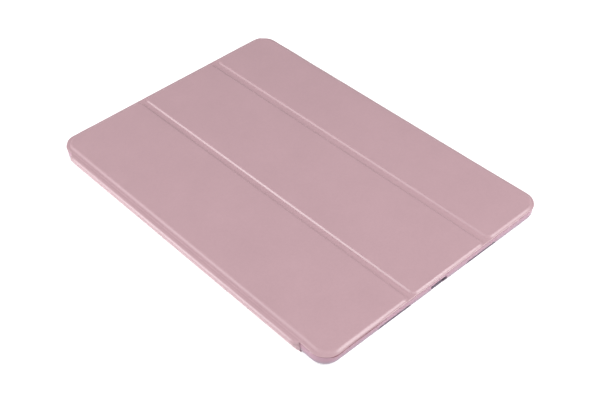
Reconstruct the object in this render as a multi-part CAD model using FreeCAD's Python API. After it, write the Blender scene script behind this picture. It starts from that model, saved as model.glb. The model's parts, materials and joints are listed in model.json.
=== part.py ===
import FreeCAD, Part
import math
import os

# Folding cover case for a slim 10.5-inch tablet, closed and lying on its back.
# Millimetres. X runs across the case from the spine (-X) to the free edge (+X),
# Y along it from the charging-port edge (-Y) to the button edge (+Y), Z up.
# The origin is the middle of the shell's back face.

# Tablet that the case holds
tablet_width = 174.1
tablet_length = 250.6
tablet_thickness = 6.1

# Moulded shell
side_clearance = 0.1
end_clearance = 0.2
side_wall = 1.0
end_wall = 1.3
shell_floor = 1.2
snap_lip = 0.3
snap_lip_height = 0.2
shell_corner = 10.2
shell_bottom_round = 3.0
bay_bottom_round = 1.2

bay_x = tablet_width / 2 + side_clearance
bay_y = tablet_length / 2 + end_clearance
shell_x = bay_x + side_wall
shell_y = bay_y + end_wall
shell_top = shell_floor + tablet_thickness + snap_lip_height
tablet_middle_z = shell_floor + tablet_thickness / 2

# Cutouts in the shell's walls and floor
cut_margin = 2.0
port_width = 12.8
port_z = (0.7, 5.0)
speaker_length = 25.0
speaker_height = 2.2
speaker_z = 2.4
speaker_x = 35.5
button_floor = 2.2
power_x = (60.0, 76.0)
volume_y = (68.0, 104.0)
headphone_x = -73.0
headphone_radius = 3.2
camera_centre = (73.0, 111.0)
camera_radius = 7.0
camera_mic = (57.0, 113.0)
mic_radius = 0.9

# Cover sheets: a microfibre lining, stiff boards and a leather skin pressed over them
lining_bottom = 7.75
lining_top = 8.1
lining_edge_inset = 1.0
rim_top = 8.9
board_top = 9.2
plate_top = 9.8
web_top = 8.7
cover_x = 88.4
cover_y = 127.5
cover_corner = 10.8
plate_corner = 8.6
fold_corner = 3.0
rim_width = 1.3
spine_rim_width = 2.2
shoulder = 0.8
board_edge_inset = 2.5
board_spine_inset = 3.6
board_fold_inset = 1.4
board_corner = 7.0

# Edges of the three panels; the gaps between them are the two folds
panel_edges = {
    "panel_1": (-cover_x, -24.0),
    "panel_2": (-21.4, 38.2),
    "panel_3": (41.4, cover_x),
}

# Spine strip beside the shell, and the flap that fixes it to the shell's back
spine_y = (-107.8, 113.5)
spine_z = (3.9, 7.2)
spine_skin_top = 4.75
spine_skin_x = (-89.8, -89.3)
spine_lining_x = (-88.8, -88.55)
spine_board_z = (4.1, 7.0)
spine_board_end_inset = 2.5
flap_thickness = 0.5
tape_thickness = 0.1
flap_x = (-85.0, -66.0)
flap_play = 0.3
bend_relief_x = -86.2
bend_relief_depth = 0.8
bend_radius = 3.7
web_thickness = 0.5
bulge_radius = 2.05
bulge_x = -89.3
bulge_end_angle = 240
hinge_lining_x = -88.0
hinge_lining_thickness = 0.25

# Magnets and the steel strip that sit in holes in the boards
insert_top = 9.15
magnet_x = (80.5, 84.5)
closing_magnet_length = 22.0
closing_magnet_y = 84.0
wake_magnet_y = (14.0, 26.0)
stand_plate_x = (-83.5, -75.5)
stand_plate_y = 92.0
insert_play = 0.1

parts_folder = "parts"


def vector(x, y, z):
    return FreeCAD.Vector(x, y, z)


def box(x_span, y_span, z_span):
    size = [span[1] - span[0] for span in (x_span, y_span, z_span)]
    return Part.makeBox(*size, vector(x_span[0], y_span[0], z_span[0]))


def rounded_wire(x_span, y_span, z, radii):
    """Closed outline with one radius per corner, anticlockwise from the low x, low y corner."""
    x0, x1 = x_span
    y0, y1 = y_span
    corners = [(x0, y0, 1, 1), (x1, y0, -1, 1), (x1, y1, -1, -1), (x0, y1, 1, -1)]
    entries, exits, middles = [], [], []
    for index, ((x, y, sx, sy), radius) in enumerate(zip(corners, radii)):
        along_x = vector(x + sx * radius, y, z)
        along_y = vector(x, y + sy * radius, z)
        near = radius * (1 - 0.5 ** 0.5)
        enters_along_y = index % 2 == 0
        entries.append(along_y if enters_along_y else along_x)
        exits.append(along_x if enters_along_y else along_y)
        middles.append(vector(x + sx * near, y + sy * near, z))
    edges = []
    for index, radius in enumerate(radii):
        if radius:
            edges.append(Part.Arc(entries[index], middles[index], exits[index]).toShape())
        edges.append(Part.makeLine(exits[index], entries[(index + 1) % 4]))
    return Part.Wire(edges)


def rounded_slab(x_span, y_span, z_span, radii):
    wire = rounded_wire(x_span, y_span, z_span[0], radii)
    return Part.Face(wire).extrude(vector(0, 0, z_span[1] - z_span[0]))


def edges_at_height(shape, z):
    flat = 1e-4
    return [
        edge for edge in shape.Edges
        if abs(edge.BoundBox.ZMin - z) < flat and abs(edge.BoundBox.ZMax - z) < flat
    ]


def strip_from_profile(edges, y_span):
    """Closed profile in the XZ plane at y = 0, drawn out along Y."""
    face = Part.Face(Part.Wire(edges))
    strip = face.extrude(vector(0, y_span[1] - y_span[0], 0))
    strip.translate(vector(0, y_span[0], 0))
    return strip


def wall_slot(x_span, y_span, z_span):
    """Slot through an end wall, with fully rounded ends."""
    radius = (z_span[1] - z_span[0]) / 2
    middle_z = (z_span[0] + z_span[1]) / 2
    depth = y_span[1] - y_span[0]
    slot = box((x_span[0] + radius, x_span[1] - radius), y_span, z_span)
    for x in (x_span[0] + radius, x_span[1] - radius):
        end = Part.makeCylinder(radius, depth, vector(x, y_span[0], middle_z), vector(0, 1, 0))
        slot = slot.fuse(end)
    return slot


def shell_tray():
    outer = rounded_slab((-shell_x, shell_x), (-shell_y, shell_y), (0, shell_top), [shell_corner] * 4)
    outer = outer.makeFillet(shell_bottom_round, edges_at_height(outer, 0))
    bay_corner = shell_corner - side_wall
    lip_z = shell_top - snap_lip_height
    bay = rounded_slab((-bay_x, bay_x), (-bay_y, bay_y), (shell_floor, lip_z), [bay_corner] * 4)
    bay = bay.makeFillet(bay_bottom_round, edges_at_height(bay, shell_floor))
    mouth = rounded_slab(
        (snap_lip - bay_x, bay_x - snap_lip),
        (snap_lip - bay_y, bay_y - snap_lip),
        (lip_z, shell_top + cut_margin),
        [bay_corner - snap_lip] * 4,
    )
    return outer.cut(bay).cut(mouth)


def port_edge_cutouts():
    wall = (-shell_y - cut_margin, -bay_y + cut_margin)
    port = box((-port_width / 2, port_width / 2), wall, port_z)
    return [port] + speaker_cutouts(wall)


def speaker_cutouts(wall):
    z_span = (speaker_z - speaker_height / 2, speaker_z + speaker_height / 2)
    half = speaker_length / 2
    return [wall_slot((x - half, x + half), wall, z_span) for x in (-speaker_x, speaker_x)]


def button_edge_cutouts():
    wall = (bay_y - cut_margin, shell_y + cut_margin)
    depth = wall[1] - wall[0]
    headphone = Part.makeCylinder(
        headphone_radius, depth, vector(headphone_x, wall[0], tablet_middle_z), vector(0, 1, 0)
    )
    power = box(power_x, wall, (button_floor, shell_top + cut_margin))
    return speaker_cutouts(wall) + [headphone, power]


def volume_cutout():
    wall = (bay_x - cut_margin, shell_x + cut_margin)
    return box(wall, volume_y, (button_floor, shell_top + cut_margin))


def floor_holes():
    height = shell_floor + 2 * cut_margin
    camera = Part.makeCylinder(camera_radius, height, vector(*camera_centre, -cut_margin))
    microphone = Part.makeCylinder(mic_radius, height, vector(*camera_mic, -cut_margin))
    return [camera, microphone]


def flap_recess():
    """Shallow recess for the flap, a little deeper where the leather starts to turn up."""
    y_span = (spine_y[0] - flap_play, spine_y[1] + flap_play)
    depth = flap_thickness + tape_thickness
    outside_x = -shell_x - cut_margin
    recess = box((outside_x, flap_x[1] + flap_play), y_span, (-cut_margin, depth))
    return recess.fuse(box((outside_x, bend_relief_x), y_span, (-cut_margin, bend_relief_depth)))


def back_shell():
    cuts = port_edge_cutouts() + button_edge_cutouts() + floor_holes()
    cuts += [volume_cutout(), flap_recess()]
    return shell_tray().cut(cuts)


def hinge_flap_skin():
    return box(flap_x, spine_y, (0, flap_thickness))


def flap_tape():
    tape_inset = 1.5
    x_span = (flap_x[0] + tape_inset, flap_x[1] - tape_inset)
    y_span = (spine_y[0] + tape_inset, spine_y[1] - tape_inset)
    return box(x_span, y_span, (flap_thickness, flap_thickness + tape_thickness))


def arc_about(centre_x, centre_z, radius, start, middle, end):
    """Arc in the XZ plane through three directions given as (x, z) unit steps."""
    points = [vector(centre_x + radius * x, 0, centre_z + radius * z) for x, z in (start, middle, end)]
    return Part.Arc(*points).toShape()


def lower_hinge_web():
    """Leather that leaves the flap, turns up round the shell's bottom edge and meets the spine."""
    centre_x = spine_skin_x[0] + bend_radius
    inner_radius = bend_radius - flap_thickness
    diagonal = (-(0.5 ** 0.5), -(0.5 ** 0.5))
    outer_arc = arc_about(centre_x, bend_radius, bend_radius, (0, -1), diagonal, (-1, 0))
    inner_arc = arc_about(centre_x, bend_radius, inner_radius, (-1, 0), diagonal, (0, -1))
    corners = {
        "flap_low": vector(flap_x[0], 0, 0),
        "flap_high": vector(flap_x[0], 0, flap_thickness),
        "bend_low": vector(centre_x, 0, 0),
        "bend_high": vector(centre_x, 0, flap_thickness),
        "outer_low": vector(spine_skin_x[0], 0, bend_radius),
        "outer_high": vector(spine_skin_x[0], 0, spine_z[0]),
        "inner_high": vector(spine_skin_x[1], 0, spine_z[0]),
        "inner_low": vector(spine_skin_x[1], 0, bend_radius),
    }
    edges = [
        Part.makeLine(corners["flap_low"], corners["bend_low"]),
        outer_arc,
        Part.makeLine(corners["outer_low"], corners["outer_high"]),
        Part.makeLine(corners["outer_high"], corners["inner_high"]),
        Part.makeLine(corners["inner_high"], corners["inner_low"]),
        inner_arc,
        Part.makeLine(corners["bend_high"], corners["flap_high"]),
        Part.makeLine(corners["flap_high"], corners["flap_low"]),
    ]
    return strip_from_profile(edges, spine_y)


def upper_hinge_web():
    """Slack leather that bulges out from the top of the spine and turns over onto the cover's rim."""
    centre_z = rim_top - bulge_radius
    inner_radius = bulge_radius - web_thickness
    end = math.radians(bulge_end_angle)
    half = math.radians((90 + bulge_end_angle) / 2)
    steps = [(math.cos(angle), math.sin(angle)) for angle in (math.pi / 2, half, end)]
    outer_arc = arc_about(bulge_x, centre_z, bulge_radius, *steps)
    inner_arc = arc_about(bulge_x, centre_z, inner_radius, *reversed(steps))
    outer_end = vector(bulge_x + bulge_radius * steps[2][0], 0, centre_z + bulge_radius * steps[2][1])
    inner_end = vector(bulge_x + inner_radius * steps[2][0], 0, centre_z + inner_radius * steps[2][1])
    rise_per_x = -math.cos(end) / math.sin(end)
    inner_foot_z = inner_end.z + (spine_skin_x[1] - inner_end.x) * rise_per_x
    foot = [
        outer_end,
        vector(spine_skin_x[0], 0, spine_skin_top),
        vector(spine_skin_x[1], 0, spine_skin_top),
        vector(spine_skin_x[1], 0, inner_foot_z),
        inner_end,
    ]
    lap = [
        vector(bulge_x, 0, rim_top - web_thickness),
        vector(-cover_x, 0, rim_top - web_thickness),
        vector(-cover_x, 0, rim_top),
        vector(bulge_x, 0, rim_top),
    ]
    edges = [outer_arc]
    edges += [Part.makeLine(a, b) for a, b in zip(foot, foot[1:])]
    edges.append(inner_arc)
    edges += [Part.makeLine(a, b) for a, b in zip(lap, lap[1:])]
    return strip_from_profile(edges, spine_y)


def upper_hinge_lining():
    """Lining that turns from the inside of the spine onto the underside of the cover."""
    shelf_z = lining_top - hinge_lining_thickness
    points = [
        vector(spine_lining_x[0], 0, spine_z[1]),
        vector(spine_lining_x[1], 0, spine_z[1]),
        vector(spine_lining_x[1], 0, shelf_z),
        vector(hinge_lining_x, 0, shelf_z),
        vector(hinge_lining_x, 0, lining_top),
        vector(spine_lining_x[0], 0, lining_top),
    ]
    edges = [Part.makeLine(a, b) for a, b in zip(points, points[1:] + points[:1])]
    return strip_from_profile(edges, spine_y)


def spine_skin():
    return box(spine_skin_x, spine_y, (spine_z[0], spine_skin_top))


def spine_board():
    y_span = (spine_y[0] + spine_board_end_inset, spine_y[1] - spine_board_end_inset)
    return box((spine_skin_x[1], spine_lining_x[0]), y_span, spine_board_z)


def spine_lining():
    return box(spine_lining_x, spine_y, spine_z)


def panel_inset(x_span, spine_inset, free_inset, fold_inset):
    """Panel's span across X, drawn in by its own amount at the spine, the free edge and a fold."""
    low, high = x_span
    low_inset = spine_inset if low == -cover_x else fold_inset
    high_inset = free_inset if high == cover_x else fold_inset
    return (low + low_inset, high - high_inset)


def panel_radii(x_span, edge_radius, fold_radius):
    low = edge_radius if x_span[0] == -cover_x else fold_radius
    high = edge_radius if x_span[1] == cover_x else fold_radius
    return [low, high, high, low]


def board_outline(x_span):
    y = cover_y - board_edge_inset
    return (
        panel_inset(x_span, board_spine_inset, board_edge_inset, board_fold_inset),
        (-y, y),
        panel_radii(x_span, board_corner, fold_corner),
    )


def panel_skin(x_span):
    """Leather pressed over a board: a thin flat rim and a raised plate with sloping shoulders."""
    rim = rounded_slab(
        x_span, (-cover_y, cover_y), (lining_top, rim_top), panel_radii(x_span, cover_corner, 0)
    )
    plate_y = cover_y - rim_width
    plate = rounded_slab(
        panel_inset(x_span, spine_rim_width, rim_width, 0),
        (-plate_y, plate_y),
        (rim_top, plate_top),
        panel_radii(x_span, plate_corner, fold_corner),
    )
    plate = plate.makeChamfer(shoulder, edges_at_height(plate, plate_top))
    board_x, board_y, radii = board_outline(x_span)
    pocket = rounded_slab(board_x, board_y, (lining_top, board_top), radii)
    return rim.fuse(plate).removeSplitter().cut(pocket)


def panel_board(x_span, inserts):
    board_x, board_y, radii = board_outline(x_span)
    board = rounded_slab(board_x, board_y, (lining_top, board_top), radii)
    for insert_x, insert_y in inserts:
        hole_x = (insert_x[0] - insert_play, insert_x[1] + insert_play)
        hole_y = (insert_y[0] - insert_play, insert_y[1] + insert_play)
        board = board.cut(box(hole_x, hole_y, (lining_top, board_top)))
    return board


def panel_lining(x_span):
    """Lining glued to the underside, a little short of the leather's turned edge."""
    at_spine = x_span[0] == -cover_x
    at_free_edge = x_span[1] == cover_x
    low = hinge_lining_x if at_spine else x_span[0]
    high = cover_x - lining_edge_inset if at_free_edge else x_span[1]
    radii = panel_radii(x_span, cover_corner - lining_edge_inset, 0)
    y = cover_y - lining_edge_inset
    return rounded_slab((low, high), (-y, y), (lining_bottom, lining_top), radii)


def fold_strip(low_panel, high_panel, edge_inset, z_span):
    x_span = (panel_edges[low_panel][1], panel_edges[high_panel][0])
    y = cover_y - edge_inset
    return box(x_span, (-y, y), z_span)


def closing_magnet_spans():
    half = closing_magnet_length / 2
    return [(magnet_x, (y - half, y + half)) for y in (-closing_magnet_y, closing_magnet_y)]


def insert(span):
    return box(span[0], span[1], (lining_top, insert_top))


def cover_nodes():
    stand_plate_span = (stand_plate_x, (-stand_plate_y, stand_plate_y))
    wake_magnet_span = (magnet_x, wake_magnet_y)
    inserts = {
        "panel_1": [stand_plate_span],
        "panel_2": [],
        "panel_3": closing_magnet_spans() + [wake_magnet_span],
    }
    nodes = {}
    for name, x_span in panel_edges.items():
        nodes[name + "_skin"] = panel_skin(x_span)
        nodes[name + "_board"] = panel_board(x_span, inserts[name])
        nodes[name + "_lining"] = panel_lining(x_span)
    for number, pair in enumerate([("panel_1", "panel_2"), ("panel_2", "panel_3")], start=1):
        nodes[f"fold_{number}_web"] = fold_strip(*pair, 0, (lining_top, web_top))
        nodes[f"fold_{number}_lining"] = fold_strip(*pair, lining_edge_inset, (lining_bottom, lining_top))
    nodes["stand_plate"] = insert(stand_plate_span)
    nodes["closing_magnets"] = Part.makeCompound([insert(span) for span in closing_magnet_spans()])
    nodes["wake_magnet"] = insert(wake_magnet_span)
    return nodes


def case_nodes():
    nodes = {
        "back_shell": back_shell(),
        "hinge_flap_skin": hinge_flap_skin(),
        "flap_tape": flap_tape(),
        "lower_hinge_web": lower_hinge_web(),
        "spine_skin": spine_skin(),
        "spine_board": spine_board(),
        "spine_lining": spine_lining(),
        "upper_hinge_web": upper_hinge_web(),
        "upper_hinge_lining": upper_hinge_lining(),
    }
    nodes.update(cover_nodes())
    return nodes


def main():
    os.makedirs(parts_folder, exist_ok=True)
    for name, shape in case_nodes().items():
        shape.exportStep(os.path.join(parts_folder, name + ".step"))
        print(name, len(shape.Solids), round(shape.Volume, 1), shape.isValid())


main()
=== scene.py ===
import json
import math

import bmesh
import bpy
from mathutils import Matrix, Vector, noise


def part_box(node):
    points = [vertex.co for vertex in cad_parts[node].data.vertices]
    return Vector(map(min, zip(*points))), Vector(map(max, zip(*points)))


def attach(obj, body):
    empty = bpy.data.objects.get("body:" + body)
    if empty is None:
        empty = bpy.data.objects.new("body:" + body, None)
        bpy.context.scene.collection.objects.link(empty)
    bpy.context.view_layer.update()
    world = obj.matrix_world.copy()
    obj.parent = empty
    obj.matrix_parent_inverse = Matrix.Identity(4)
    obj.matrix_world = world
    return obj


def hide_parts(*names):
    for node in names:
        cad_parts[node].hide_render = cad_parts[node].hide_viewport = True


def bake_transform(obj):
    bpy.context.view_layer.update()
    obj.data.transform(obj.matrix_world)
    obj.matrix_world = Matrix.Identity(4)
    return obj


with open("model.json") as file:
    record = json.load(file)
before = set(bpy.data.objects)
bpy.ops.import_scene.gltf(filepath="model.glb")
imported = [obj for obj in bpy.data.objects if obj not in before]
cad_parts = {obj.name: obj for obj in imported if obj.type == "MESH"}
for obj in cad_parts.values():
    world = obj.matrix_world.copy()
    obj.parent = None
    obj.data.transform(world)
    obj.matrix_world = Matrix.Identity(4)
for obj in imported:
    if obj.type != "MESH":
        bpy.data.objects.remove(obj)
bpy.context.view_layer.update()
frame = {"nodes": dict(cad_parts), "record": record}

mm = 0.001
print("case: frame loaded,", len(frame["nodes"]), "nodes")


def spanOf(node):
    # a CAD node's low and high corners in millimetres
    low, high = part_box(node)
    return [value / mm for value in low], [value / mm for value in high]


def smooth(value):
    value = max(0.0, min(1.0, value))
    return value * value * (3 - 2 * value)


# how the laminated cover has settled in use

settling = {
    "plateWave": 0.05,      # mm, slow rise and fall of the pressed plates
    "plateWaveLength": 42.0,
    "rimWave": 0.10,        # mm, wobble of the thin rim
    "rimWaveLength": 19.0,
    "rimDropX": -45.0,      # the rim sags a little from here towards the spine, on the port edge
    "rimDrop": 0.30,
    "rimLean": 0.32,
    "nearLean": 0.38,       # the whole port edge is pressed outwards a little
    "farRimLift": 0.42,     # the far rim and the free corners stand a little proud
    "farRimReach": 1.1,     # how far the far rim moves outwards for each mm that it rises
    "cornerLift": 0.30,
    "flare": 0.45,          # mm, how far the near spine-side corner is spread outwards
}
# where each movement begins and over what length it grows, mm
growth = {
    "rimY": (125.6, 1.6), "rimX": (86.6, 1.6), "farRimY": (124.5, 2.0), "nearLeanY": (123.2, 3.4),
    "cornerY": (70.0, 57.0), "cornerX": (80.0, 8.0), "flareX": (66.0, 20.0), "flareY": (108.0, 16.0),
    "liningZ": (7.7, 0.4),
}


def grown(name, place):
    start, length = growth[name]
    return smooth((place - start) / length)


def settled(x, y, z):
    wave = noise.noise(Vector((x, y, 3.0)) / settling["plateWaveLength"]) * settling["plateWave"]
    wobble = noise.noise(Vector((x, y, 9.0)) / settling["rimWaveLength"]) * settling["rimWave"]
    atRim = min(1.0, grown("rimY", abs(y)) + grown("rimX", x))
    drop = smooth((settling["rimDropX"] - x) / 5 + 0.5) * grown("rimY", -y)
    farRim = settling["farRimLift"] * grown("farRimY", y)
    corner = settling["cornerLift"] * grown("cornerY", abs(y)) * grown("cornerX", x)
    flare = settling["flare"] * grown("flareX", -x) * grown("flareY", -y)
    outwards = settling["rimLean"] * drop + settling["nearLean"] * grown("nearLeanY", -y) + flare
    liningStart, liningRise = growth["liningZ"]
    lift = max(0.0, min(1.0, (z - liningStart) / liningRise))   # the underside stays flat
    rise = wave + wobble * atRim + farRim + corner - settling["rimDrop"] * drop
    shiftedY = y - outwards + farRim * settling["farRimReach"]
    return ((x - flare) * mm, shiftedY * mm, (z + rise * lift) * mm)


# mesh building

def addPiece(name, points, faces, material, sharpAngle=40):
    mesh = bpy.data.meshes.new(name)
    mesh.from_pydata(points, [], faces)
    shape = bmesh.new()
    shape.from_mesh(mesh)
    bmesh.ops.remove_doubles(shape, verts=shape.verts, dist=1e-7)
    bmesh.ops.recalc_face_normals(shape, faces=shape.faces)
    shape.to_mesh(mesh)
    shape.free()
    mesh.polygons.foreach_set("use_smooth", [True] * len(mesh.polygons))
    mesh.set_sharp_from_angle(angle=math.radians(sharpAngle))
    mesh.update()
    piece = bpy.data.objects.new(name, mesh)
    bpy.context.scene.collection.objects.link(piece)
    mesh.materials.append(material)
    return piece


def roundedLoop(low, high, radii, counts):
    # outline as (x, y), anticlockwise from the low, low corner; counts = (arc, x side, y side) segments
    arcSteps, xSteps, ySteps = counts
    centres = [
        (low[0] + radii[0], low[1] + radii[0]), (high[0] - radii[1], low[1] + radii[1]),
        (high[0] - radii[2], high[1] - radii[2]), (low[0] + radii[3], high[1] - radii[3]),
    ]
    loop = []
    for corner, (centreX, centreY) in enumerate(centres):
        for step in range(arcSteps + 1):
            angle = math.radians(180 + 90 * corner + 90 * step / arcSteps)
            across, up = radii[corner] * math.cos(angle), radii[corner] * math.sin(angle)
            loop.append((centreX + across, centreY + up))
        nextCorner = (corner + 1) % 4
        angle = math.radians(270 + 90 * corner)
        endX = centres[nextCorner][0] + radii[nextCorner] * math.cos(angle)
        endY = centres[nextCorner][1] + radii[nextCorner] * math.sin(angle)
        startX, startY = loop[-1]
        steps = xSteps if corner % 2 == 0 else ySteps
        for step in range(1, steps):
            share = step / steps
            loop.append((startX + (endX - startX) * share, startY + (endY - startY) * share))
    return loop


def gridInside(points, faces, ringStart, counts, inset, z):
    # closes a ring with a regular grid, so the flat face can carry gentle shape
    arcSteps, xSteps, ySteps = counts
    acrossSteps, alongSteps = xSteps + arcSteps, ySteps + arcSteps
    total = 2 * (acrossSteps + alongSteps)
    border = [ringStart + (arcSteps // 2 + index) % total for index in range(total)]
    bottom = [points[border[index]][0] for index in range(acrossSteps + 1)]
    side = [points[border[acrossSteps + index]][1] for index in range(alongSteps + 1)]
    xLow, xHigh = bottom[0] + inset, bottom[-1] - inset
    yLow, yHigh = side[0] + inset, side[-1] - inset
    columns = [xLow + (value - bottom[0]) / (bottom[-1] - bottom[0]) * (xHigh - xLow) for value in bottom]
    rows = [yLow + (value - side[0]) / (side[-1] - side[0]) * (yHigh - yLow) for value in side]
    gridStart = len(points)
    for y in rows:
        points += [(x, y, z) for x in columns]
    width = acrossSteps + 1

    def at(column, row):
        return gridStart + row * width + column

    edge = [at(column, 0) for column in range(acrossSteps)]
    edge += [at(acrossSteps, row) for row in range(alongSteps)]
    edge += [at(column, alongSteps) for column in range(acrossSteps, 0, -1)]
    edge += [at(0, row) for row in range(alongSteps, 0, -1)]
    for index in range(total):
        following = (index + 1) % total
        faces.append((border[index], border[following], edge[following], edge[index]))
    for row in range(alongSteps):
        for column in range(acrossSteps):
            nearSide = (at(column, row), at(column + 1, row))
            faces.append((*nearSide, at(column + 1, row + 1), at(column, row + 1)))


def loftedSlab(rings, counts, inset):
    # rings are (low, high, radii, z), from the underside's inner edge round the outside to the top
    points, faces = [], []
    for low, high, radii, z in rings:
        points += [(x, y, z) for x, y in roundedLoop(low, high, radii, counts)]
    around = len(points) // len(rings)
    for ring in range(len(rings) - 1):
        for index in range(around):
            following = (index + 1) % around
            start, above = ring * around, (ring + 1) * around
            faces.append((start + index, start + following, above + following, above + index))
    gridInside(points, faces, 0, counts, inset, rings[0][3])
    gridInside(points, faces, (len(rings) - 1) * around, counts, inset, rings[-1][3])
    return points, faces


def sweptLoop(loops, pairedCaps=False):
    # closed profiles at stations along a strip, capped at both ends;
    # paired caps join each point to the one across the thickness
    points = [point for loop in loops for point in loop]
    around = len(loops[0])
    last = len(points) - around
    if pairedCaps:
        pairs = [
            (index, index + 1, around - 2 - index, around - 1 - index) for index in range(around // 2 - 1)
        ]
        faces = pairs + [tuple(last + corner for corner in reversed(pair)) for pair in pairs]
    else:
        faces = [tuple(range(around)), tuple(range(len(points) - 1, last - 1, -1))]
    for station in range(len(loops) - 1):
        for index in range(around):
            following = (index + 1) % around
            start, ahead = station * around, (station + 1) * around
            faces.append((start + index, start + following, ahead + following, ahead + index))
    return points, faces


def arcPoints(centre, radius, startAngle, endAngle, steps):
    sweep = endAngle - startAngle
    angles = [math.radians(startAngle + sweep * step / steps) for step in range(steps + 1)]
    return [
        (centre[0] + radius * math.cos(angle), centre[1] + radius * math.sin(angle)) for angle in angles
    ]


def linePoints(start, end, steps):
    return [
        (start[0] + (end[0] - start[0]) * step / steps, start[1] + (end[1] - start[1]) * step / steps)
        for step in range(steps + 1)
    ]


# materials

def addNode(tree, kind, inputs=None, **settings):
    made = tree.nodes.new(kind)
    for name, value in settings.items():
        setattr(made, name, value)
    for name, value in (inputs or {}).items():
        if isinstance(value, bpy.types.NodeSocket):
            tree.links.new(value, made.inputs[name])
        else:
            made.inputs[name].default_value = value
    return made


def newMaterial(name):
    material = bpy.data.materials.new(name)
    material.use_nodes = True
    tree = material.node_tree
    place = addNode(tree, "ShaderNodeTexCoord").outputs["Object"]
    return material, tree, tree.nodes["Principled BSDF"], place


def colourStops(tree, value, stops):
    ramp = addNode(tree, "ShaderNodeValToRGB", {"Fac": value})
    while len(ramp.color_ramp.elements) < len(stops):
        ramp.color_ramp.elements.new(0.5)
    for element, (position, colour) in zip(ramp.color_ramp.elements, stops):
        element.position = position
        element.color = (*colour, 1.0)
    return ramp.outputs["Color"]


def shade(colour, amount):
    return tuple(channel * amount for channel in colour)


def perMetre(sizeInMillimetres):
    return 1000.0 / sizeInMillimetres


leatherLook = {
    "colour": (0.438, 0.281, 0.310),
    "mottle": 0.018,        # how much lighter and darker the dye runs
    "mottleSize": 22.0,     # mm
    "speckSize": 1.3,
    "grainSize": 0.55,
    "grainDepth": 0.05,
    # painted shade: dark red on the lower cut edge of the skin, for the shadow in the gap between the rim
    # and the tray
    "paintedEdgeShade": (0.17, 0.05, 0.07),
    "paintedEdgeShadeTop": (8.42, 8.64),   # mm, the painted shade on the cut edge, standing in for the shadow under the rim, fades out over this height
    "creaseSize": 5.0,
    "roughness": (0.40, 0.50),
    "sheen": 0.06,
    "coat": 0.45,
}


def makeLeather(name, withEdgeShade):
    look = leatherLook
    material, tree, principled, place = newMaterial(name)
    base = look["colour"]
    mottle = addNode(tree, "ShaderNodeTexNoise", {
        "Vector": place, "Scale": perMetre(look["mottleSize"]), "Detail": 5.0, "Roughness": 0.6,
    })
    dye = colourStops(tree, mottle.outputs["Fac"], [
        (0.30, shade(base, 1 - look["mottle"])), (0.70, shade(base, 1 + look["mottle"])),
    ])
    speck = addNode(tree, "ShaderNodeTexNoise", {
        "Vector": place, "Scale": perMetre(look["speckSize"]), "Detail": 3.0, "Roughness": 0.7,
    })
    speckTone = colourStops(tree, speck.outputs["Fac"], [
        (0.25, (0.94, 0.94, 0.94)), (0.75, (1.0, 1.0, 1.0)),
    ])
    colour = addNode(tree, "ShaderNodeMix", data_type="RGBA", blend_type="MULTIPLY")
    colour.inputs["Factor"].default_value = 1.0
    tree.links.new(dye, colour.inputs["A"])
    tree.links.new(speckTone, colour.inputs["B"])
    # painted shade: the cut edge below this height darkens, standing in for the shadow under the rim
    if withEdgeShade:
        height = addNode(tree, "ShaderNodeSeparateXYZ", {"Vector": place}).outputs["Z"]
        edgeShadeLow, edgeShadeHigh = look["paintedEdgeShadeTop"]
        clear = addNode(tree, "ShaderNodeMapRange", {
            "Value": height, "From Min": edgeShadeLow * mm, "From Max": edgeShadeHigh * mm,
        })
        shadeMix = addNode(tree, "ShaderNodeMix", data_type="RGBA")
        shadeMix.inputs["A"].default_value = (*look["paintedEdgeShade"], 1.0)
        tree.links.new(clear.outputs["Result"], shadeMix.inputs["Factor"])
        tree.links.new(colour.outputs["Result"], shadeMix.inputs["B"])
        colour = shadeMix
    tree.links.new(colour.outputs["Result"], principled.inputs["Base Color"])
    shine = addNode(tree, "ShaderNodeMapRange", {
        "Value": mottle.outputs["Fac"], "From Min": 0.3, "From Max": 0.7,
        "To Min": look["roughness"][0], "To Max": look["roughness"][1],
    })
    tree.links.new(shine.outputs["Result"], principled.inputs["Roughness"])
    pebbles = addNode(tree, "ShaderNodeTexVoronoi", {
        "Vector": place, "Scale": perMetre(look["grainSize"]), "Randomness": 1.0,
    }, feature="SMOOTH_F1")
    creases = addNode(tree, "ShaderNodeTexNoise", {
        "Vector": place, "Scale": perMetre(look["creaseSize"]), "Detail": 4.0, "Roughness": 0.55,
    })
    creaseBump = addNode(tree, "ShaderNodeBump", {
        "Height": creases.outputs["Fac"], "Strength": 0.25, "Distance": 0.05 * mm,
    })
    grainBump = addNode(tree, "ShaderNodeBump", {
        "Height": pebbles.outputs["Distance"], "Strength": 0.35, "Distance": look["grainDepth"] * mm,
        "Normal": creaseBump.outputs["Normal"],
    })
    tree.links.new(grainBump.outputs["Normal"], principled.inputs["Normal"])
    principled.inputs["Sheen Weight"].default_value = look["sheen"]
    principled.inputs["Sheen Roughness"].default_value = 0.4
    principled.inputs["Coat Weight"].default_value = look["coat"]
    principled.inputs["Coat Roughness"].default_value = 0.3
    return material


liningLook = {
    "colour": (0.46, 0.315, 0.345),
    "napSize": 0.35,
    "brushSize": 9.0,
    "sheen": 0.55,
}


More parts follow.
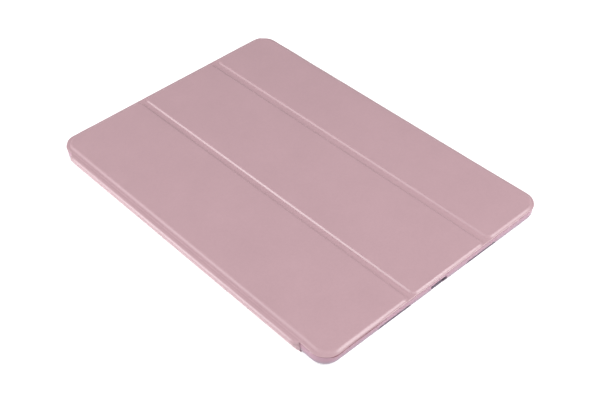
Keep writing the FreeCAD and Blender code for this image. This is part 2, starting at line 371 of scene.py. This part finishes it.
def makeMicrofibre():
    look = liningLook
    material, tree, principled, place = newMaterial("roseMicrofibre")
    base = look["colour"]
    stretched = addNode(tree, "ShaderNodeMapping", {"Vector": place, "Scale": (1.0, 0.45, 1.0)})
    brushed = addNode(tree, "ShaderNodeTexNoise", {
        "Vector": stretched.outputs["Vector"], "Scale": perMetre(look["brushSize"]), "Detail": 6.0,
        "Roughness": 0.65,
    })
    nap = addNode(tree, "ShaderNodeTexNoise", {
        "Vector": place, "Scale": perMetre(look["napSize"]), "Detail": 2.0, "Roughness": 0.8,
    })
    pile = colourStops(tree, brushed.outputs["Fac"], [(0.3, shade(base, 0.93)), (0.7, shade(base, 1.07))])
    fibre = colourStops(tree, nap.outputs["Fac"], [(0.3, (0.86, 0.86, 0.86)), (0.75, (1.0, 1.0, 1.0))])
    colour = addNode(tree, "ShaderNodeMix", data_type="RGBA", blend_type="MULTIPLY")
    colour.inputs["Factor"].default_value = 1.0
    tree.links.new(pile, colour.inputs["A"])
    tree.links.new(fibre, colour.inputs["B"])
    tree.links.new(colour.outputs["Result"], principled.inputs["Base Color"])
    fuzz = addNode(tree, "ShaderNodeBump", {
        "Height": nap.outputs["Fac"], "Strength": 0.5, "Distance": 0.06 * mm,
    })
    tree.links.new(fuzz.outputs["Normal"], principled.inputs["Normal"])
    principled.inputs["Roughness"].default_value = 0.9
    principled.inputs["Specular IOR Level"].default_value = 0.2
    principled.inputs["Sheen Weight"].default_value = look["sheen"]
    principled.inputs["Sheen Roughness"].default_value = 0.5
    return material


shellLook = {
    "upperColour": (0.38, 0.215, 0.275),
    # painted shade: darker, greyer colour low on the tray for its shaded rounded lower edge
    "shadedLowerColour": (0.26, 0.225, 0.275),
    "backColour": (0.60, 0.47, 0.52),
    "lowerShadeHeight": (1.2, 4.8),   # mm, where the painted shade of the lower edge gives way to the upper colour
    "roughness": (0.26, 0.36),
    "etchSize": 1.1,
}


def makeShellPlastic():
    look = shellLook
    material, tree, principled, place = newMaterial("frostedShell")
    height = addNode(tree, "ShaderNodeSeparateXYZ", {"Vector": place}).outputs["Z"]
    rise = addNode(tree, "ShaderNodeMapRange", {
        "Value": height, "From Min": look["lowerShadeHeight"][0] * mm, "From Max": look["lowerShadeHeight"][1] * mm,
    })
    # painted shade: the tray's colour darkens towards its lower edge
    tint = colourStops(tree, rise.outputs["Result"], [
        (0.0, look["shadedLowerColour"]), (1.0, look["upperColour"]),
    ])
    cloud = addNode(tree, "ShaderNodeTexNoise", {"Vector": place, "Scale": perMetre(22), "Detail": 3.0})
    cloudTone = colourStops(tree, cloud.outputs["Fac"], [
        (0.3, (0.96, 0.96, 0.97)), (0.7, (1.0, 1.0, 1.0)),
    ])
    colour = addNode(tree, "ShaderNodeMix", data_type="RGBA", blend_type="MULTIPLY")
    colour.inputs["Factor"].default_value = 1.0
    tree.links.new(tint, colour.inputs["A"])
    tree.links.new(cloudTone, colour.inputs["B"])
    tree.links.new(colour.outputs["Result"], principled.inputs["Base Color"])
    etch = addNode(tree, "ShaderNodeTexNoise", {
        "Vector": place, "Scale": perMetre(look["etchSize"]), "Detail": 2.0, "Roughness": 0.6,
    })
    frost = addNode(tree, "ShaderNodeBump", {
        "Height": etch.outputs["Fac"], "Strength": 0.08, "Distance": 0.02 * mm,
    })
    tree.links.new(frost.outputs["Normal"], principled.inputs["Normal"])
    shine = addNode(tree, "ShaderNodeMapRange", {
        "Value": cloud.outputs["Fac"], "From Min": 0.3, "From Max": 0.7,
        "To Min": look["roughness"][0], "To Max": look["roughness"][1],
    })
    tree.links.new(shine.outputs["Result"], principled.inputs["Roughness"])
    principled.inputs["Subsurface Weight"].default_value = 0.25
    principled.inputs["Subsurface Radius"].default_value = (0.003, 0.002, 0.0022)
    principled.inputs["Subsurface Scale"].default_value = 0.5
    return material


innerLook = {
    "board": (0.30, 0.27, 0.24),
    "tape": (0.80, 0.78, 0.70),
    "plating": (0.72, 0.70, 0.66),
    "steel": (0.50, 0.51, 0.53),
}


def makeSpeckled(name, colour, size, roughness, metallic=0.0, stretch=(1.0, 1.0, 1.0), bumpDepth=0.02):
    material, tree, principled, place = newMaterial(name)
    turned = addNode(tree, "ShaderNodeMapping", {"Vector": place, "Scale": stretch})
    fleck = addNode(tree, "ShaderNodeTexNoise", {
        "Vector": turned.outputs["Vector"], "Scale": perMetre(size), "Detail": 4.0, "Roughness": 0.7,
    })
    tone = colourStops(tree, fleck.outputs["Fac"], [
        (0.25, shade(colour, 0.82)), (0.75, shade(colour, 1.1)),
    ])
    tree.links.new(tone, principled.inputs["Base Color"])
    bump = addNode(tree, "ShaderNodeBump", {
        "Height": fleck.outputs["Fac"], "Strength": 0.3, "Distance": bumpDepth * mm,
    })
    tree.links.new(bump.outputs["Normal"], principled.inputs["Normal"])
    principled.inputs["Roughness"].default_value = roughness
    principled.inputs["Metallic"].default_value = metallic
    return material


leather = makeLeather("roseLeather", False)
# this leather has painted shade on its lower cut edge, for the shadow under the rim
shadedEdgeLeather = makeLeather("roseLeatherShadedEdge", True)
microfibre = makeMicrofibre()
shellPlastic = makeShellPlastic()
boardStock = makeSpeckled("pressedBoard", innerLook["board"], 0.8, 0.85)
tapeFilm = makeSpeckled("adhesiveFilm", innerLook["tape"], 3.0, 0.25)
magnetPlating = makeSpeckled("nickelPlating", innerLook["plating"], 2.0, 0.22, 1.0)
stripSteel = makeSpeckled("rolledSteel", innerLook["steel"], 0.6, 0.38, 1.0, (1.0, 0.04, 1.0))
slotMaterials = {
    "cover_leather": leather, "microfibre": microfibre, "shell_plastic": shellPlastic,
    "stiff_board": boardStock, "adhesive_film": tapeFilm, "magnet_plating": magnetPlating,
    "strip_steel": stripSteel,
}
for entry in frame["record"]["subparts"]:
    cadMesh = frame["nodes"][entry["node"]].data
    cadMesh.materials.clear()
    cadMesh.materials.append(slotMaterials[entry["material_slot"]])
print("case: materials ready")


# cover panels

coverShape = {
    "rimTop": 8.9,
    "plateTop": 9.8,
    "skinBottom": 8.1,
    "cornerRadius": 10.8,
    "squareCorner": 0.05,   # radius of a corner that is all but square
    "foldRadius": 3.2,
    "counts": (12, 12, 56),     # segments in each corner, across the panel and along it
    # hollow for the board: insets at the free edges, the folds and the spine
    "pocket": {"top": 9.2, "insets": (2.5, 1.4, 3.6), "corner": 7.0, "foldCorner": 3.0},
    # rim width and shoulder width of each side, mm
    "sides": {
        "panel_1": {"left": (1.8, 2.7), "right": (0.05, 1.9), "bottom": (0.45, 2.1), "top": (1.3, 1.2)},
        "panel_2": {"left": (0.1, 1.6), "right": (0.05, 1.9), "bottom": (0.45, 1.45), "top": (1.3, 1.2)},
        "panel_3": {"left": (0.05, 1.8), "right": (1.3, 1.3), "bottom": (0.42, 1.9), "top": (1.3, 1.2)},
    },
}
edgeProfile = [  # the pressed edge of the skin: inset from the edge and height
    (0.35, 8.10), (0.12, 8.15), (0.02, 8.27), (0.0, 8.38),
    (0.03, 8.53), (0.10, 8.66), (0.21, 8.78), (0.36, 8.86),
]
shoulderSteps = 10


def panelRing(node, insets, cornerRadius, foldRadius, z):
    low, high = spanOf(node)
    outerLeft, outerRight = node.startswith("panel_1"), node.startswith("panel_3")
    radii = [
        cornerRadius if outerLeft else foldRadius, cornerRadius if outerRight else foldRadius,
        cornerRadius if outerRight else foldRadius, cornerRadius if outerLeft else foldRadius,
    ]
    ringLow = (low[0] + insets["left"], low[1] + insets["bottom"])
    ringHigh = (high[0] - insets["right"], high[1] - insets["top"])
    return ringLow, ringHigh, radii, z


def sideInsets(panel, edgeInset, foldInset, spineInset=None):
    spineInset = edgeInset if spineInset is None else spineInset
    return {
        "left": spineInset if panel == "panel_1" else foldInset,
        "right": edgeInset if panel == "panel_3" else foldInset,
        "bottom": edgeInset, "top": edgeInset,
    }


def panelSkin(panel):
    node = panel + "_skin"
    corner, tiny = coverShape["cornerRadius"], coverShape["squareCorner"]
    rings = []
    pocket = coverShape["pocket"]
    top = pocket["top"]
    for more, z in [(1.2, top), (0.2, top), (0.0, top - 0.1), (0.0, coverShape["skinBottom"])]:
        insets = sideInsets(panel, *(inset + more for inset in pocket["insets"]))
        rings.append(panelRing(node, insets, pocket["corner"] - more, pocket["foldCorner"], z))
    for inset, z in edgeProfile:
        rings.append(panelRing(node, sideInsets(panel, inset, 0.0), corner - inset, tiny, z))
    sides = coverShape["sides"][panel]
    rise = coverShape["plateTop"] - coverShape["rimTop"]
    for count in range(shoulderSteps + 1):
        step = count / shoulderSteps
        insets = {side: rim + slope * step for side, (rim, slope) in sides.items()}
        lean = sum(insets.values()) / 4
        foldRadius = coverShape["foldRadius"] - 0.8 * step
        z = coverShape["rimTop"] + rise * (0.97 * smooth(step) + 0.03 * step)
        rings.append(panelRing(node, insets, corner - lean, foldRadius, z))
    for extra in (0.8, 2.0):
        insets = {side: rim + slope + extra for side, (rim, slope) in sides.items()}
        radius = corner - sum(insets.values()) / 4
        rings.append(panelRing(node, insets, radius, 2.2, coverShape["plateTop"]))
    points, faces = loftedSlab(rings, coverShape["counts"], 4.0)
    piece = addPiece(panel + "Leather", [settled(*point) for point in points], faces, shadedEdgeLeather, 60)
    finishPiece(node)
    layOnBoard(piece, panel)


def finishPiece(node):
    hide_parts(node)


def layOnBoard(piece, panel):
    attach(piece, panel)


liningShape = {
    "cornerRadius": 9.8,
    # inset from the edge and height, mm
    "profile": [(0.6, 7.76), (0.22, 7.77), (0.06, 7.82), (0.0, 7.9), (0.0, 8.06), (0.08, 8.09)],
    "counts": (12, 10, 40),
}


def panelLining(panel):
    node = panel + "_lining"
    corner = liningShape["cornerRadius"]
    rings = []
    for inset, z in liningShape["profile"]:
        insets = sideInsets(panel, inset, 0.0)
        rings.append(panelRing(node, insets, corner - inset, coverShape["squareCorner"], z))
    points, faces = loftedSlab(rings, liningShape["counts"], 5.0)
    piece = addPiece(panel + "Microfibre", [settled(*point) for point in points], faces, microfibre, 60)
    finishPiece(node)
    layOnBoard(piece, panel)


for panelName in ("panel_1", "panel_2", "panel_3"):
    panelSkin(panelName)
    panelLining(panelName)
print("case: panels built")


# the two folds

foldShape = {
    "steps": 14,
    "alongSteps": 48,
    "dip": 0.05,    # mm, how far the leather sinks between two panels
}


def foldStrip(name, node, profile, material, dip):
    low, high = spanOf(node)
    loops = []
    for step in range(foldShape["steps"] + 1):
        share = step / foldShape["steps"]
        x = low[0] + (high[0] - low[0]) * share
        sink = dip * math.sin(math.pi * share) ** 2
        upper = [(low[1] + inset, z - sink) for inset, z in profile]
        far = [(high[1] - inset, z - sink) for inset, z in reversed(profile)]
        along = linePoints(upper[-1], far[0], foldShape["alongSteps"])
        back = linePoints(far[-1], upper[0], foldShape["alongSteps"])
        loops.append([settled(x, y, z) for y, z in upper[:-1] + along + far[1:-1] + back[:-1]])
    points, faces = sweptLoop(loops)
    piece = addPiece(name, points, faces, material, 60)
    finishPiece(node)
    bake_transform(piece)
    return piece


leatherFoldProfile = edgeProfile + [(0.9, coverShape["rimTop"])]
for number, bodies in ((1, ("panel_1", "panel_2")), (2, ("panel_2", "panel_3"))):
    foldStrip(f"fold{number}Leather", f"fold_{number}_web", leatherFoldProfile, shadedEdgeLeather,
              foldShape["dip"])
    foldStrip(f"fold{number}Microfibre", f"fold_{number}_lining", liningShape["profile"],
              microfibre, 0.0)
print("case: folds built")


# spine, its two bends and the flap under the tray

spineShape = {
    "thickness": 0.5,
    "liningThickness": 0.25,
    "bulgeRadius": 2.05,
    "bulgeX": -89.3,
    "bulgeEnd": 240,
    "footRadius": 3.7,
    "tuckLength": 2.4,      # mm at each end over which the leather closes onto the tray's wall
    "tuckShare": 0.98,
    "wallGap": 0.0,         # mm, left between the tucked end and the tray's wall
    "liningShortfall": 2.0,
    "alongSteps": 44,
    "lapOntoRim": 0.6,
}


def strip(name, outer, thickness, ySpan, material, tuckShare=0.0):
    # leather or lining of one thickness, following a profile in X and Z; tucked ends close onto the wall
    normals = []
    for index in range(len(outer)):
        before, after = outer[max(index - 1, 0)], outer[min(index + 1, len(outer) - 1)]
        runX, runZ = after[0] - before[0], after[1] - before[1]
        length = math.hypot(runX, runZ)
        normals.append((-runZ / length, runX / length))
    tuckLength = spineShape["tuckLength"]
    insets = [0.0, 0.15, 0.35, 0.6, 0.95, 1.4, 1.9, tuckLength]
    span = ySpan[1] - ySpan[0]
    steps = spineShape["alongSteps"]
    along = [ySpan[0] + inset for inset in insets]
    along += [ySpan[0] + span * step / steps for step in range(1, steps)]
    along += [ySpan[1] - inset for inset in reversed(insets)]
    loops = []
    for y in along:
        fromEnd = min(y - ySpan[0], ySpan[1] - y) / tuckLength
        tuck = tuckShare * (1 - math.sqrt(1 - (1 - min(1.0, fromEnd)) ** 2)) ** 0.5
        back = [(x + nx * thickness, z + nz * thickness) for (x, z), (nx, nz) in zip(outer, normals)]
        loop = []
        for x, z in outer + back[::-1]:
            loop.append(((x + max(0.0, wallX - x) * tuck) * mm, y * mm, z * mm))
        loops.append(loop)
    points, faces = sweptLoop(loops, pairedCaps=True)
    return addPiece(name, points, faces, material, 50)


skinLow, skinHigh = spanOf("spine_skin")
rimLow = spanOf("panel_1_skin")[0]
flapLow, flapHigh = spanOf("hinge_flap_skin")
ySpan = (skinLow[1], skinHigh[1])
outerX = skinLow[0]
wallX = spanOf("back_shell")[0][0] - spineShape["wallGap"]
liningSpan = (ySpan[0] + spineShape["liningShortfall"], ySpan[1] - spineShape["liningShortfall"])
bulgeRadius, footRadius = spineShape["bulgeRadius"], spineShape["footRadius"]
bulgeCentre = (spineShape["bulgeX"], coverShape["rimTop"] - bulgeRadius)
footCentre = (outerX + footRadius, footRadius)
spineTop, spineFoot = (outerX, skinHigh[2]), (outerX, footRadius + 0.2)
turnProfile = linePoints((rimLow[0] + spineShape["lapOntoRim"], coverShape["rimTop"] + 0.01),
                         (bulgeCentre[0], coverShape["rimTop"] + 0.01), 3)
turnProfile += arcPoints(bulgeCentre, bulgeRadius, 90, spineShape["bulgeEnd"], 28)[1:]
turnProfile += linePoints(turnProfile[-1], spineTop, 2)[1:]
footProfile = [spineFoot] + arcPoints(footCentre, footRadius, 180, 270, 28)
footProfile += linePoints((footCentre[0], 0.0), (flapLow[0], 0.0), 4)[1:]

thickness, tuckShare = spineShape["thickness"], spineShape["tuckShare"]
turn = strip("coverTurnLeather", turnProfile, thickness, ySpan, leather, tuckShare)
finishPiece("upper_hinge_web")
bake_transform(turn)

spineSkin = strip("spineLeather", linePoints(spineTop, spineFoot, 3), thickness, ySpan, leather, tuckShare)
finishPiece("spine_skin")
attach(spineSkin, "spine")

foot = strip("spineFootLeather", footProfile, thickness, ySpan, leather, tuckShare)
finishPiece("lower_hinge_web")
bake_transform(foot)

flapProfile = linePoints((flapLow[0], 0.0), (flapHigh[0], 0.0), 6)
flap = strip("flapLeather", flapProfile, thickness, ySpan, leather)
finishPiece("hinge_flap_skin")
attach(flap, "shell")

liningLow, liningHigh = spanOf("spine_lining")
hingeLow, hingeHigh = spanOf("upper_hinge_lining")
liningThickness = spineShape["liningThickness"]
liningProfile = linePoints((liningHigh[0], liningLow[2]), (liningHigh[0], liningHigh[2]), 8)
spineLining = strip("spineMicrofibre", liningProfile, liningThickness, liningSpan, microfibre)
finishPiece("spine_lining")
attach(spineLining, "spine")
bendCentre = (hingeHigh[0], hingeLow[2] + 0.1)
turnInside = [(liningHigh[0], hingeLow[2])]
turnInside += arcPoints(bendCentre, hingeHigh[0] - liningHigh[0], 180, 90, 10)
turnLining = strip("coverTurnMicrofibre", turnInside, liningThickness, liningSpan, microfibre)
finishPiece("upper_hinge_lining")
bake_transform(turnLining)
print("case: spine and flap built")


# floor, light and camera

studio = {
    "floorColour": (0.93, 0.93, 0.93),
    "floorGap": 0.05,       # mm, keeps the table from lying in the same plane as the tray's back
    "floorGlow": 0.30,      # the table is lit from below, so shadows stay faint
    "world": 0.26,
    # power in watts, side of the square in metres, place in metres
    "softboxes": {
        "left": (8.8, 0.50, (-0.72, 0.70, 0.74)),
        "right": (8.2, 0.50, (0.52, -0.68, 0.84)),
        "lowLeft": (4.6, 0.40, (-0.99, 0.73, 0.29)),
        "lowRight": (4.2, 0.40, (0.59, -1.0, 0.46)),
        "camera": (3.8, 0.60, (-0.53, -0.53, 0.80)),
    },
}


def makeFloor():
    material, tree, principled, place = newMaterial("studioFloor")
    grain = addNode(tree, "ShaderNodeTexNoise", {"Vector": place, "Scale": perMetre(40), "Detail": 2.0})
    base = studio["floorColour"]
    tone = colourStops(tree, grain.outputs["Fac"], [(0.3, shade(base, 0.995)), (0.7, base)])
    tree.links.new(tone, principled.inputs["Base Color"])
    principled.inputs["Roughness"].default_value = 0.7
    principled.inputs["Emission Color"].default_value = (1.0, 1.0, 1.0, 1.0)
    principled.inputs["Emission Strength"].default_value = studio["floorGlow"]
    z = -studio["floorGap"] * mm
    points = [(-3, -3, z), (3, -3, z), (3, 3, z), (-3, 3, z)]
    floor = addPiece("studioFloor", points, [(0, 1, 2, 3)], material)


def addSoftbox(name, power, size, place):
    light = bpy.data.lights.new(name, "AREA")
    light.energy = power
    light.size = size
    softbox = bpy.data.objects.new(name, light)
    softbox.location = place
    softbox.rotation_euler = Vector(place).to_track_quat("Z", "Y").to_euler()
    bpy.context.scene.collection.objects.link(softbox)


def addWorld():
    world = bpy.data.worlds.new("lightTent")
    world.use_nodes = True
    world.node_tree.nodes["Background"].inputs["Color"].default_value = (1.0, 1.0, 1.0, 1.0)
    world.node_tree.nodes["Background"].inputs["Strength"].default_value = studio["world"]
    bpy.context.scene.world = world


viewpoint = {
    "azimuth": -39.46, "elevation": 42.23, "roll": -3.606,
    "target": (-6.89, -16.76, 0.0),     # mm
    "distance": 680.65,
    "lens": 65.86,
}


def addCamera():
    names = ("azimuth", "elevation", "roll")
    azimuth, elevation, roll = (math.radians(viewpoint[name]) for name in names)
    level = math.cos(elevation)
    back = Vector((math.sin(azimuth) * level, -math.cos(azimuth) * level, math.sin(elevation)))
    right = Vector((math.cos(azimuth), math.sin(azimuth), 0.0))
    up = back.cross(right)
    turnedRight = right * math.cos(roll) + up * math.sin(roll)
    turnedUp = up * math.cos(roll) - right * math.sin(roll)
    data = bpy.data.cameras.new("camera")
    data.sensor_width = 36.0
    data.lens = viewpoint["lens"]
    data.clip_start = 0.01
    camera = bpy.data.objects.new("camera", data)
    place = Matrix((turnedRight, turnedUp, back)).transposed().to_4x4()
    place.translation = (Vector(viewpoint["target"]) + back * viewpoint["distance"]) * mm
    camera.matrix_world = place
    bpy.context.scene.collection.objects.link(camera)
    bpy.context.scene.camera = camera


makeFloor()
addWorld()
for side, (power, size, place) in studio["softboxes"].items():
    addSoftbox(side + "Softbox", power, size, place)
addCamera()
bpy.context.scene.view_settings.view_transform = "Standard"
print("case: studio ready")
